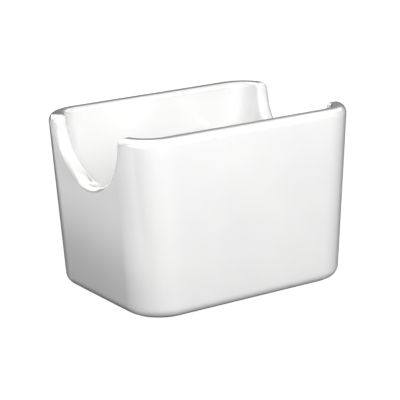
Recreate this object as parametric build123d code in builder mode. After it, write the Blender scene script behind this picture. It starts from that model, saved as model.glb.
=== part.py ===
"""A glazed china sugar packet holder: a tapered trough with a half-round scoop in each end wall.

Lengths are in millimetres and angles in degrees. The origin is the middle of the foot, on the table,
with +X along the holder, +Y to its back and +Z up.
"""

import os
from math import cos, radians, sin, tan

from build123d import *

# Walls, measured over the glaze at the rim
LENGTH = 95.0
WIDTH = 70.5
HEIGHT = 63.6
CORNER_RADIUS = 14.0
END_DRAFT = 3.1
SIDE_DRAFT = 1.3
WALL = 5.9
FLOOR_HEIGHT = 6.5

# Roundings of the glazed edges
BASE_ROUND = 4.0
FLOOR_ROUND = 5.5
RIM_OUTER_ROUND = 2.9
RIM_INNER_ROUND = 1.7

# Scoops: half circles centred on the rim, this far in from the long walls' outer faces,
# with shoulders that curve a little more widely than the rim's outer edge
SCOOP_MARGIN = 14.0
SHOULDER_EASE = 0.6

# Foot ring and the recess inside it
FOOT_WIDTH = 3.6
RECESS_DEPTH = 1.6
RECESS_DRAFT = 30.0

# Glaze thickness, the height to which the foot is wiped bare before firing, and the flats that are
# trimmed on the clay's edges, as shares of the roundings that the glaze gives them
GLAZE = 0.3
BARE_FOOT = 0.7
RIM_TRIM_SHARE = 0.83
BASE_TRIM_SHARE = 0.62

# How far the cavity's cutter stands above the rim
SPARE = 8.0


def wall_size(level, depth):
    """Length and width of the walls at a level, a depth in from their outer faces."""
    drop = HEIGHT - level
    end_inset = drop * tan(radians(END_DRAFT)) + depth / cos(radians(END_DRAFT))
    side_inset = drop * tan(radians(SIDE_DRAFT)) + depth / cos(radians(SIDE_DRAFT))
    return LENGTH - 2 * end_inset, WIDTH - 2 * side_inset


def tapered_block(top, bottom, depth):
    """A block with the walls' drafts and rounded corners, a depth in from their outer faces."""
    top_plane = Plane.XY.offset(top)
    downward = -top_plane
    with BuildPart() as block:
        with BuildSketch(top_plane):
            Rectangle(*wall_size(top, depth))
        extrude(amount=bottom - top)
        draft(block.faces().filter_by(Axis.X), downward, END_DRAFT)
        draft(block.faces().filter_by(Axis.Y), downward, SIDE_DRAFT)
        fillet(block.edges().group_by(Axis.Z)[1], CORNER_RADIUS - depth)
    return block.part


def cast_form(inset, finish_edge, rim_share, base_share):
    """The holder's form at an inset below the surface of the glaze.

    Its edges are finished by a fillet or a chamfer, in shares of the roundings of the glaze.
    """
    base = inset - GLAZE
    ring = BASE_ROUND + FOOT_WIDTH - inset
    scoop_radius = WIDTH / 2 - SCOOP_MARGIN + inset
    shoulder_radius = RIM_OUTER_ROUND + SHOULDER_EASE - inset
    floor_round = min(FLOOR_ROUND, CORNER_RADIUS - WALL)
    walls = tapered_block(HEIGHT - inset, base, inset)
    cavity = tapered_block(HEIGHT + SPARE, FLOOR_HEIGHT - inset, WALL - inset)
    with BuildPart() as form:
        add(walls)
        finish_edge(form.edges().group_by(Axis.Z)[0], base_share * BASE_ROUND)

        # Scoops, square to the end walls, with rounded shoulders
        for end in (-1, 1):
            outward = (end * cos(radians(END_DRAFT)), 0, -sin(radians(END_DRAFT)))
            with BuildSketch(Plane((end * LENGTH / 2, 0, HEIGHT), x_dir=(0, 1, 0), z_dir=outward)):
                Circle(scoop_radius)
            extrude(amount=2 * WALL, both=True, mode=Mode.SUBTRACT)
            mouth = form.edges(Select.NEW).group_by(Axis.Z)[-1].sort_by(Axis.Y)
            fillet((mouth[0], mouth[-1]), shoulder_radius)

        # The rim's outer edge, which runs on smoothly through the shoulders and scoops
        outer_rim = form.edges().filter_by(Axis.X).group_by(Axis.Z)[-1].sort_by(Axis.Y)[0]
        finish_edge(outer_rim, rim_share * RIM_OUTER_ROUND)

        # Cavity, with an inner rim that runs on in the same way and a rounded floor
        add(cavity, mode=Mode.SUBTRACT)
        inner_rim = form.edges().filter_by(Axis.X).group_by(Axis.Z)[-1].sort_by(Axis.Y)[1]
        finish_edge(inner_rim, rim_share * RIM_INNER_ROUND)
        floor = form.faces().filter_by(Plane.XY).sort_by(Axis.Z)[1]
        finish_edge(floor.edges(), base_share * floor_round)

        # Recess that leaves the foot ring standing
        with BuildSketch(Plane.XY.offset(base)):
            RectangleRounded(*wall_size(0, ring), CORNER_RADIUS - ring)
        extrude(amount=RECESS_DEPTH, taper=RECESS_DRAFT, mode=Mode.SUBTRACT)
    return form.part


os.makedirs("parts", exist_ok=True)
clay_form = cast_form(GLAZE, chamfer, RIM_TRIM_SHARE, BASE_TRIM_SHARE)
glazed_form = cast_form(0, fillet, 1, 1)

# Fired clay body, bare on its foot ring
with BuildPart() as china_body:
    add(clay_form)
china_body.part.label = "china_body"
export_step(china_body.part, "parts/china_body.step")

# Glaze, which the bare foot parts into a patch in the recess and a coat over everything else
with BuildPart() as glaze:
    add(glazed_form)
    add(clay_form, mode=Mode.SUBTRACT)
    split(bisect_by=Plane.XY.offset(BARE_FOOT), keep=Keep.TOP)
recess_patch, wall_coat = glaze.part.solids().sort_by(SortBy.VOLUME)

with BuildPart() as base_glaze:
    add(recess_patch)
base_glaze.part.label = "base_glaze"
export_step(base_glaze.part, "parts/base_glaze.step")

with BuildPart() as glaze_coat:
    add(wall_coat)
glaze_coat.part.label = "glaze_coat"
export_step(glaze_coat.part, "parts/glaze_coat.step")
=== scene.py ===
"""Looks of the glazed china sugar packet holder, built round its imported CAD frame."""
from math import asin, cos, pi, radians, sin, sqrt, tan

import bpy
import numpy as np
from mathutils import Matrix, Vector


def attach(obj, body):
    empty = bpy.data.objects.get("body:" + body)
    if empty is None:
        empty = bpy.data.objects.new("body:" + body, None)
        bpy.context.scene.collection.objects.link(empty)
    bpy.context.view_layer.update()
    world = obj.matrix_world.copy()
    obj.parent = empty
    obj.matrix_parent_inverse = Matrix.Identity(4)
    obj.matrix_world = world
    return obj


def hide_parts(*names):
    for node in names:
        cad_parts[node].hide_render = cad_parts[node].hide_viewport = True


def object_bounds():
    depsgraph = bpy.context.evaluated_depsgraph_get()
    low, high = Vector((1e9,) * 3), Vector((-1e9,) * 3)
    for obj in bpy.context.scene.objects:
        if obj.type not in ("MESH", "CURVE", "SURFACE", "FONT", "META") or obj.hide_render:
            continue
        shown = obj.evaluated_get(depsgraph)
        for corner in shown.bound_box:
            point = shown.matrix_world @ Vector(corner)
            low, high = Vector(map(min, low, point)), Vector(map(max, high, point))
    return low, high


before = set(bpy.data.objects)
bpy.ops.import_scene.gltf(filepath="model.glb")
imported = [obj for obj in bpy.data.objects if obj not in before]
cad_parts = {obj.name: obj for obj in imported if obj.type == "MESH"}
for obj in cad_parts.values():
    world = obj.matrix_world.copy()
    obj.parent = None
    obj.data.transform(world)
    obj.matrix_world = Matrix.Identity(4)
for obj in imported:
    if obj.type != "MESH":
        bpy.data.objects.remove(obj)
cad_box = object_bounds()

MM = 0.001

# The holder's dimensions in millimetres, as in the CAD source
LENGTH, WIDTH, HEIGHT = 95.0, 70.5, 63.6
CORNER, WALL, FLOOR = 14.0, 5.9, 6.5
END_DRAFT, SIDE_DRAFT = radians(3.1), radians(1.3)
BASE_ROUND, FLOOR_ROUND = 4.0, 5.5
RIM_OUTER, RIM_INNER = 2.9, 1.7
SCOOP, SHOULDER = 21.25, 3.5
GLAZE, BARE_FOOT = 0.3, 0.7

# The shoulders tighten to this radius on the inside, which brings the rim's tips nearer to the photograph
INNER_SHOULDER = 2.1

# Columns of a quarter, and the places along the foot below the ends of the scoop and of the shoulder
SCOOP_COLUMNS, SHOULDER_COLUMNS, CORNER_COLUMNS, SIDE_COLUMNS = 26, 12, 16, 10
SCOOP_FOOT, SHOULDER_FOOT = 0.86, 1.12

# Rows of a column, as shares of each stretch, and the steps of each rounding
OUTER_ROWS = [0.012] + [0.05 + 0.93 * i / 26 for i in range(27)] + [0.992]
INNER_ROWS = [0.008] + [0.04 + 0.92 * i / 24 for i in range(25)] + [0.99]
RIM_FLAT_ROWS = (0.1, 0.5, 0.9)
FLOOR_ROWS, FLOOR_NARROWING = (0.04, 0.35, 0.7), 0.62
BASE_STEPS, OUTER_RIM_STEPS, INNER_RIM_STEPS, FLOOR_STEPS = 8, 8, 7, 10


def outline(z, n):
    """Half length, half width and corner radius of the walls at a height, a depth in from the outer face."""
    drop = HEIGHT - z
    half_length = LENGTH / 2 - drop * tan(END_DRAFT) - n / cos(END_DRAFT)
    half_width = WIDTH / 2 - drop * tan(SIDE_DRAFT) - n / cos(SIDE_DRAFT)
    return half_length, half_width, CORNER - n


def wall_point(s, z, n):
    """A point of the first quarter's wall.

    s runs over the end (0 to 1), the corner (to 2) and the side (to 3).
    """
    a, b, r = outline(z, n)
    if s <= 1:
        return a, s * (b - r), z
    if s <= 2:
        t = (s - 1) * pi / 2
        return a - r + r * cos(t), b - r + r * sin(t), z
    return (3 - s) * (a - r), b, z


def s_of(y, z, n):
    """Where along the end and corner a given y lies."""
    _, b, r = outline(z, n)
    if y <= b - r:
        return y / (b - r)
    return 1 + asin(min(1.0, (y - b + r) / r)) / (pi / 2)


def shoulder(n):
    """Radius, centre and start angle of the shoulder at a depth into the wall."""
    radius = SHOULDER + (INNER_SHOULDER - SHOULDER) * n / WALL
    return radius, sqrt((SCOOP + radius) ** 2 - radius ** 2), asin(radius / (SCOOP + radius))


# Rim line of a quarter in the plane of the end wall: scoop, shoulder, then the level rim.
# Each column has its kind, its place along that stretch and its place along the foot
level_start = s_of(shoulder(0)[1], HEIGHT, 0)
inner_level_start = s_of(shoulder(WALL)[1], HEIGHT, WALL)
columns = []
for i in range(SCOOP_COLUMNS):
    f = i / SCOOP_COLUMNS
    columns.append(("scoop", f, SCOOP_FOOT * f))
for i in range(SHOULDER_COLUMNS):
    f = i / SHOULDER_COLUMNS
    columns.append(("shoulder", f, SCOOP_FOOT + (SHOULDER_FOOT - SCOOP_FOOT) * f))
for i in range(CORNER_COLUMNS):
    f = i / CORNER_COLUMNS
    columns.append(("level", level_start + (2 - level_start) * f, SHOULDER_FOOT + (2 - SHOULDER_FOOT) * f))
for i in range(SIDE_COLUMNS + 1):
    f = i / SIDE_COLUMNS
    columns.append(("level", 2 + f, 2 + f))


def inner_turn(s):
    """The place on the inner wall that faces a place on the outer rim, past the shoulder.

    It moves on faster by the shoulder and slows down towards the end of the corner.
    """
    if s >= 2:
        return s
    u = (s - level_start) / (2 - level_start)
    return inner_level_start + (2 - inner_level_start) * u * (1.5 - 0.5 * u)


def rim_sz(column, d, n):
    """Place and height of a rim column, a distance d below the rim line and a depth n into the wall."""
    kind, value, _ = column
    radius, centre, start = shoulder(n)
    if kind == "scoop":
        angle = (pi / 2 - start) * value
        y = (SCOOP + d) * sin(angle)
        z = HEIGHT - ((SCOOP + d) * cos(END_DRAFT) - n * sin(END_DRAFT)) * cos(angle)
        return s_of(y, z, n), z
    if kind == "shoulder":
        angle = pi - start - (pi / 2 - start) * value
        y = centre + (radius - d) * cos(angle)
        z = HEIGHT - radius + (radius - d) * sin(angle)
        return s_of(y, z, n), z
    return value + (inner_turn(value) - value) * n / WALL, HEIGHT - d


def ease(v):
    """Half a smooth step and half an even one, from 0 to 1."""
    return v * v * (3 - 2 * v) * 0.5 + v * 0.5


def quarter_column(column):
    """The points of one column from the glaze line at the foot, over the rim, to the middle of the floor.

    Each point has a share that says how far it lies on a rounded edge of the rim.
    """
    points, shares = [], []

    def put(point, edge_share=0.0):
        points.append(point)
        shares.append(edge_share)

    _, _, s_foot = column
    # Base rounding, from the glaze line up to the wall
    z_low = BASE_ROUND - GLAZE
    start = asin((z_low - BARE_FOOT) / BASE_ROUND)
    for i in range(BASE_STEPS):
        t = start * (1 - i / BASE_STEPS)
        put(wall_point(s_foot, z_low - BASE_ROUND * sin(t), BASE_ROUND * (1 - cos(t))))
    # Outer wall
    s_top, z_top = rim_sz(column, RIM_OUTER, 0)
    for v in OUTER_ROWS:
        put(wall_point(s_foot + (s_top - s_foot) * ease(v), z_low + (z_top - z_low) * v, 0))
    # Rim: outer rounding, flat, inner rounding
    for i in range(OUTER_RIM_STEPS + 1):
        t = pi / 2 * i / OUTER_RIM_STEPS
        d, n = RIM_OUTER * (1 - sin(t)), RIM_OUTER * (1 - cos(t))
        put(wall_point(*rim_sz(column, d, n), n), sin(2 * t))
    for f in RIM_FLAT_ROWS:
        n = RIM_OUTER + (WALL - RIM_INNER - RIM_OUTER) * f
        put(wall_point(*rim_sz(column, 0, n), n))
    for i in range(INNER_RIM_STEPS + 1):
        t = pi / 2 * i / INNER_RIM_STEPS
        d, n = RIM_INNER * (1 - cos(t)), WALL - RIM_INNER * (1 - sin(t))
        put(wall_point(*rim_sz(column, d, n), n), sin(2 * t))
    # Inner wall, and the floor's rounding
    s_top, z_top = rim_sz(column, RIM_INNER, WALL)
    z_low = FLOOR + FLOOR_ROUND
    for v in INNER_ROWS:
        put(wall_point(s_top + (s_foot - s_top) * ease(v), z_top + (z_low - z_top) * v, WALL))
    for i in range(1, FLOOR_STEPS + 1):
        t = pi / 2 * i / FLOOR_STEPS
        put(wall_point(s_foot, FLOOR + FLOOR_ROUND * (1 - sin(t)), WALL + FLOOR_ROUND * (1 - cos(t))))
    # Floor, drawn in towards its middle line
    x, y, z = points[-1]
    for f in FLOOR_ROWS:
        put((x * (1 - f * FLOOR_NARROWING), y * (1 - f), z))
    return points, shares


# Four quarters make the loop, each without its last column, which the next one starts with
quarter = [quarter_column(column) for column in columns]
grid = np.array([points for points, _ in quarter])
share = np.array([shares for _, shares in quarter])
flip_x, flip_y = np.array([-1, 1, 1]), np.array([1, -1, 1])
loop = np.concatenate([
    grid[:-1],
    (grid * flip_x)[::-1][:-1],
    (grid * flip_x * flip_y)[:-1],
    (grid * flip_y)[::-1][:-1],
])
loop_share = np.concatenate([share[:-1], share[::-1][:-1], share[:-1], share[::-1][:-1]])
count, rows = loop.shape[:2]

faces = []
for i in range(count):
    j = (i + 1) % count
    for k in range(rows - 1):
        faces.append((i * rows + k, j * rows + k, j * rows + k + 1, i * rows + k + 1))
faces.append(tuple(i * rows + rows - 1 for i in range(count)))
vertices = loop.reshape(-1, 3)
mesh = bpy.data.meshes.new("glaze_surface")
mesh.from_pydata((vertices * MM).tolist(), [], faces)
mesh.validate()
mesh.shade_smooth()
glaze = bpy.data.objects.new("glaze_surface", mesh)
bpy.context.scene.collection.objects.link(glaze)
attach(glaze, "root")
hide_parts("glaze_coat")

# Slow unevenness of slip-cast walls, as crossing waves some centimetres long that are kept inside the
# CAD box, and a skin of even thickness. Both are in millimetres
SWELL, SKIN = 0.03, 0.25
normals = np.array([v.normal for v in mesh.vertices])
x, y, z = vertices.T
swell = (
    np.sin(x / 13 + 0.7) * np.cos(z / 17 + 0.4)
    + np.sin(y / 11 + z / 23 + 1.9)
    + 0.6 * np.sin(x / 29 - y / 19 + 2.6)
)
moved = np.clip(vertices + normals * (SWELL * swell)[:, None], *(np.array(cad_box) / MM))
mesh.vertices.foreach_set("co", (moved * MM).ravel())
edge_layer = mesh.attributes.new("edge_share", "FLOAT", "POINT")
edge_layer.data.foreach_set("value", loop_share.ravel())
mesh.update()
skin = glaze.modifiers.new("skin", "SOLIDIFY")
skin.thickness = SKIN * MM
skin.offset = -1


def new_material(name):
    """A material with its nodes, its links and its shader."""
    material = bpy.data.materials.new(name)
    material.use_nodes = True
    nodes = material.node_tree.nodes
    return material, nodes, material.node_tree.links, nodes["Principled BSDF"]


def noise(nodes, links, coords, scale, detail, roughness=0.5):
    """Noise in object coordinates, with scale as its number of spots to the metre."""
    node = nodes.new("ShaderNodeTexNoise")
    node.inputs["Scale"].default_value = scale
    node.inputs["Detail"].default_value = detail
    node.inputs["Roughness"].default_value = roughness
    links.new(coords.outputs["Object"], node.inputs["Vector"])
    return node


def ramp(nodes, links, source, stops):
    """A colour ramp between two stops."""
    node = nodes.new("ShaderNodeValToRGB")
    for element, (position, color) in zip(node.color_ramp.elements, stops):
        element.position, element.color = position, (*color, 1)
    links.new(source, node.inputs["Fac"])
    return node


def smooth_range(nodes, links, source, start, end, low=0.0, high=1.0):
    """A smooth step from low to high, while the source goes from start to end."""
    node = nodes.new("ShaderNodeMapRange")
    node.interpolation_type = "SMOOTHSTEP"
    for field, value in (("From Min", start), ("From Max", end), ("To Min", low), ("To Max", high)):
        node.inputs[field].default_value = value
    links.new(source, node.inputs["Value"])
    return node.outputs["Result"]


def bumps(nodes, links, source, shader, strength, distance):
    """Fine relief on a shader, with its height in metres."""
    node = nodes.new("ShaderNodeBump")
    node.inputs["Strength"].default_value = strength
    node.inputs["Distance"].default_value = distance
    links.new(source, node.inputs["Height"])
    links.new(node.outputs["Normal"], shader.inputs["Normal"])


def either(nodes, links, first, second):
    """The larger of two values."""
    node = nodes.new("ShaderNodeMath")
    node.operation = "MAXIMUM"
    links.new(first, node.inputs[0])
    links.new(second, node.inputs[1])
    return node.outputs[0]


def product(nodes, links, first, second):
    """A value times another value or a number."""
    node = nodes.new("ShaderNodeMath")
    node.operation = "MULTIPLY"
    links.new(first, node.inputs[0])
    if isinstance(second, float):
        node.inputs[1].default_value = second
    else:
        links.new(second, node.inputs[1])
    return node.outputs[0]


# The glaze's specular level rises between these values of Facing, which is 0 face on and 1 edge on
GLANCE_START, GLANCE_FULL = 0.58, 0.82
FACING_LEVEL, GLANCING_LEVEL = 0.5, 5.0
GLAZE_IOR = 1.52


def glaze_material():
    """Clear glossy glaze over white china.

    It has slow drifts of tone and gloss and a fine orange peel, and is thinner on edges. Its gloss
    is raised at glancing angles, where it mirrors the dark flags.
    """
    material, nodes, links, shader = new_material("white_glaze")
    coords = nodes.new("ShaderNodeTexCoord")
    drift = noise(nodes, links, coords, 38, 3)
    tones = [(0.3, (0.845, 0.845, 0.842)), (0.7, (0.885, 0.885, 0.88))]
    tone = ramp(nodes, links, drift.outputs["Fac"], tones)
    edge = nodes.new("ShaderNodeAttribute")
    edge.attribute_name = "edge_share"
    # The Mix node's colours are its inputs 6 and 7 and its output 2
    thin = nodes.new("ShaderNodeMix")
    thin.data_type = "RGBA"
    thin.blend_type = "MULTIPLY"
    thin.inputs[7].default_value = (0.975, 0.97, 0.955, 1)
    links.new(edge.outputs["Fac"], thin.inputs[0])
    links.new(tone.outputs["Color"], thin.inputs[6])
    links.new(thin.outputs[2], shader.inputs["Base Color"])
    gloss = noise(nodes, links, coords, 120, 4)
    rough = ramp(nodes, links, gloss.outputs["Fac"], [(0.3, (0.05,) * 3), (0.75, (0.12,) * 3)])
    links.new(rough.outputs["Color"], shader.inputs["Roughness"])
    peel = noise(nodes, links, coords, 900, 2)
    bumps(nodes, links, peel.outputs["Fac"], shader, 0.25, 0.00003)
    facing = nodes.new("ShaderNodeLayerWeight")
    facing.inputs["Blend"].default_value = 0.5
    glance = smooth_range(
        nodes, links, facing.outputs["Facing"], GLANCE_START, GLANCE_FULL, FACING_LEVEL, GLANCING_LEVEL
    )
    links.new(glance, shader.inputs["Specular IOR Level"])
    shader.inputs["IOR"].default_value = GLAZE_IOR
    shader.inputs["Coat Weight"].default_value = 1.0
    shader.inputs["Coat Roughness"].default_value = 0.04
    shader.inputs["Coat IOR"].default_value = GLAZE_IOR
    return material


def bisque_material():
    """Bare fired clay of the foot ring: matt, a little warm and sandy."""
    material, nodes, links, shader = new_material("bare_bisque")
    coords = nodes.new("ShaderNodeTexCoord")
    grain = noise(nodes, links, coords, 1400, 4, 0.65)
    tones = [(0.3, (0.70, 0.675, 0.63)), (0.7, (0.83, 0.81, 0.77))]
    tone = ramp(nodes, links, grain.outputs["Fac"], tones)
    links.new(tone.outputs["Color"], shader.inputs["Base Color"])
    bumps(nodes, links, grain.outputs["Fac"], shader, 0.6, 0.00008)
    shader.inputs["Roughness"].default_value = 0.85
    return material


white_glaze, bare_bisque = glaze_material(), bisque_material()
glaze.data.materials.append(white_glaze)
for name, material in (("base_glaze", white_glaze), ("china_body", bare_bisque)):
    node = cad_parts[name]
    node.data.materials.clear()
    node.data.materials.append(material)

# Camera, at the angle and distance fitted to the photograph's outlines
PIXELS, SENSOR = 400, 36.0
AZIMUTH, ELEVATION, ROLL = radians(-32.997), radians(15.249), radians(-1.616)
DISTANCE, FOCAL_PIXELS, CENTRE, AIM_HEIGHT = 598.45, 1642.2, (199.81, 192.41), 32.11
back = Vector((sin(AZIMUTH) * cos(ELEVATION), -cos(AZIMUTH) * cos(ELEVATION), sin(ELEVATION)))
right = Vector((cos(AZIMUTH), sin(AZIMUTH), 0))
up = back.cross(right)
turned_right = cos(ROLL) * right + sin(ROLL) * up
turned_up = cos(ROLL) * up - sin(ROLL) * right
lens = bpy.data.cameras.new("camera")
lens.sensor_width = SENSOR
lens.lens = FOCAL_PIXELS / PIXELS * SENSOR
lens.shift_x = (PIXELS / 2 - CENTRE[0]) / PIXELS
lens.shift_y = (CENTRE[1] - PIXELS / 2) / PIXELS
lens.clip_start = 0.01
camera = bpy.data.objects.new("camera", lens)
bpy.context.scene.collection.objects.link(camera)
place = Matrix.Translation((Vector((0, 0, AIM_HEIGHT)) + back * DISTANCE) * MM)
camera.matrix_world = place @ Matrix((turned_right, turned_up, back)).transposed().to_4x4()
bpy.context.scene.camera = camera

# Floor that glows, so that it renders white where it is lit and keeps only a faint shadow
FLOOR_REACH, FLOOR_GREY, FLOOR_GLOW = 4.0, 0.2, 0.95
floor_corners = [(x * FLOOR_REACH, y * FLOOR_REACH, 0) for x, y in ((-1, -1), (1, -1), (1, 1), (-1, 1))]
floor_mesh = bpy.data.meshes.new("floor")
floor_mesh.from_pydata(floor_corners, [], [(0, 1, 2, 3)])
floor = bpy.data.objects.new("floor", floor_mesh)
bpy.context.scene.collection.objects.link(floor)
paper, nodes, links, shader = new_material("white_paper")
shader.inputs["Base Color"].default_value = (FLOOR_GREY, FLOOR_GREY, FLOOR_GREY, 1)
shader.inputs["Roughness"].default_value = 0.9
shader.inputs["Specular IOR Level"].default_value = 0.0
shader.inputs["Emission Color"].default_value = (1, 1, 1, 1)
# Reflections and glass show the glow too, but only on the floor left of the holder and not in front of it.
# Elsewhere the glow is cut from reflections, so the glaze mirrors a dark grey floor there: painted shade in
# its reflections.
# In metres, where the glow starts and where it is full
LEFT_START, LEFT_FULL, BACK_START, BACK_FULL = -0.05, -0.1, -0.07, -0.04
path = nodes.new("ShaderNodeLightPath")
coords = nodes.new("ShaderNodeTexCoord")
across = nodes.new("ShaderNodeSeparateXYZ")
links.new(coords.outputs["Object"], across.inputs[0])
open_left = smooth_range(nodes, links, across.outputs["X"], LEFT_START, LEFT_FULL)
open_back = smooth_range(nodes, links, across.outputs["Y"], BACK_START, BACK_FULL)
# Where this share is 0, reflections see only the dark grey floor, which paints shade into what the glaze
# mirrors
glow_beyond_painted_shade = product(nodes, links, open_left, open_back)
by_way = either(nodes, links, path.outputs["Is Glossy Ray"], path.outputs["Is Transmission Ray"])
seen = either(nodes, links, path.outputs["Is Camera Ray"], product(nodes, links, by_way, glow_beyond_painted_shade))
links.new(product(nodes, links, seen, FLOOR_GLOW), shader.inputs["Emission Strength"])
floor.data.materials.append(paper)

# World: an even dim light from all round, white wherever it is seen
DOME = 0.04
world = bpy.data.worlds.new("studio")
bpy.context.scene.world = world
world.use_nodes = True
nodes, links = world.node_tree.nodes, world.node_tree.links
dome = nodes["Background"]
dome.inputs["Color"].default_value = (1, 1, 1, 1)
dome.inputs["Strength"].default_value = DOME
white = nodes.new("ShaderNodeBackground")
white.inputs["Color"].default_value = (1, 1, 1, 1)
white.inputs["Strength"].default_value = 1.0
mix = nodes.new("ShaderNodeMixShader")
path = nodes.new("ShaderNodeLightPath")
by_way = either(nodes, links, path.outputs["Is Glossy Ray"], path.outputs["Is Transmission Ray"])
links.new(either(nodes, links, path.outputs["Is Camera Ray"], by_way), mix.inputs[0])
links.new(dome.outputs[0], mix.inputs[1])
links.new(white.outputs[0], mix.inputs[2])
links.new(mix.outputs[0], nodes["World Output"].inputs["Surface"])

# Dark flags stand in a ring round the set. Only reflections see them, and they draw the glaze's dark edges
RING_RADIUS, RING_HEIGHT, RING_SIDES = 1.5, 1.5, 24
ring_points, ring_faces = [], []
for i in range(RING_SIDES):
    angle = 2 * pi * i / RING_SIDES
    for level in (0.0, RING_HEIGHT):
        ring_points.append((RING_RADIUS * cos(angle), RING_RADIUS * sin(angle), level))
    j = (i + 1) % RING_SIDES
    ring_faces.append((2 * i, 2 * j, 2 * j + 1, 2 * i + 1))
ring_mesh = bpy.data.meshes.new("flags")
ring_mesh.from_pydata(ring_points, [], ring_faces)
flags = bpy.data.objects.new("flags", ring_mesh)
bpy.context.scene.collection.objects.link(flags)
black_cloth, nodes, links, shader = new_material("black_cloth")
shader.inputs["Base Color"].default_value = (0.02, 0.02, 0.02, 1)
shader.inputs["Roughness"].default_value = 1.0
shader.inputs["Specular IOR Level"].default_value = 0.0
flags.data.materials.append(black_cloth)
flags.visible_camera = flags.visible_diffuse = False
flags.visible_transmission = flags.visible_shadow = False

# Soft boxes, aimed at the holder: azimuth from the front towards the right, elevation, distance, side,
# watts, and which of their light counts. The cards are there for reflections in the rounded edges alone
LIGHTS = (
    ("key", -33, 29, 0.42, 0.26, 1.3, "both"),
    ("right", 27, 32, 0.42, 0.22, 1.0, "both"),
    ("left", -80, 24, 0.5, 0.2, 0.4, "both"),
    ("behind", 147, 4, 1.2, 0.4, 19.0, "diffuse"),
    ("back_fill", 190, 2, 1.2, 0.4, 4.5, "diffuse"),
    ("right_card", 105, 35, 1.2, 0.6, 1.8, "gloss"),
    ("left_card", -162, 42, 0.9, 1.1, 12.0, "gloss"),
)
for name, azimuth, elevation, distance, side, watts, counts in LIGHTS:
    azimuth, elevation = radians(azimuth), radians(elevation)
    level = cos(elevation)
    towards = Vector((sin(azimuth) * level, -cos(azimuth) * level, sin(elevation)))
    light = bpy.data.lights.new(name, "AREA")
    light.shape = "SQUARE"
    light.size = side
    light.energy = watts
    lamp = bpy.data.objects.new(name, light)
    lamp.location = Vector((0, 0, AIM_HEIGHT * MM)) + towards * distance
    lamp.rotation_euler = towards.to_track_quat("Z", "Y").to_euler()
    lamp.visible_camera = False
    lamp.visible_glossy = counts != "diffuse"
    lamp.visible_diffuse = counts != "gloss"
    bpy.context.scene.collection.objects.link(lamp)

bpy.context.scene.view_settings.view_transform = "Standard"
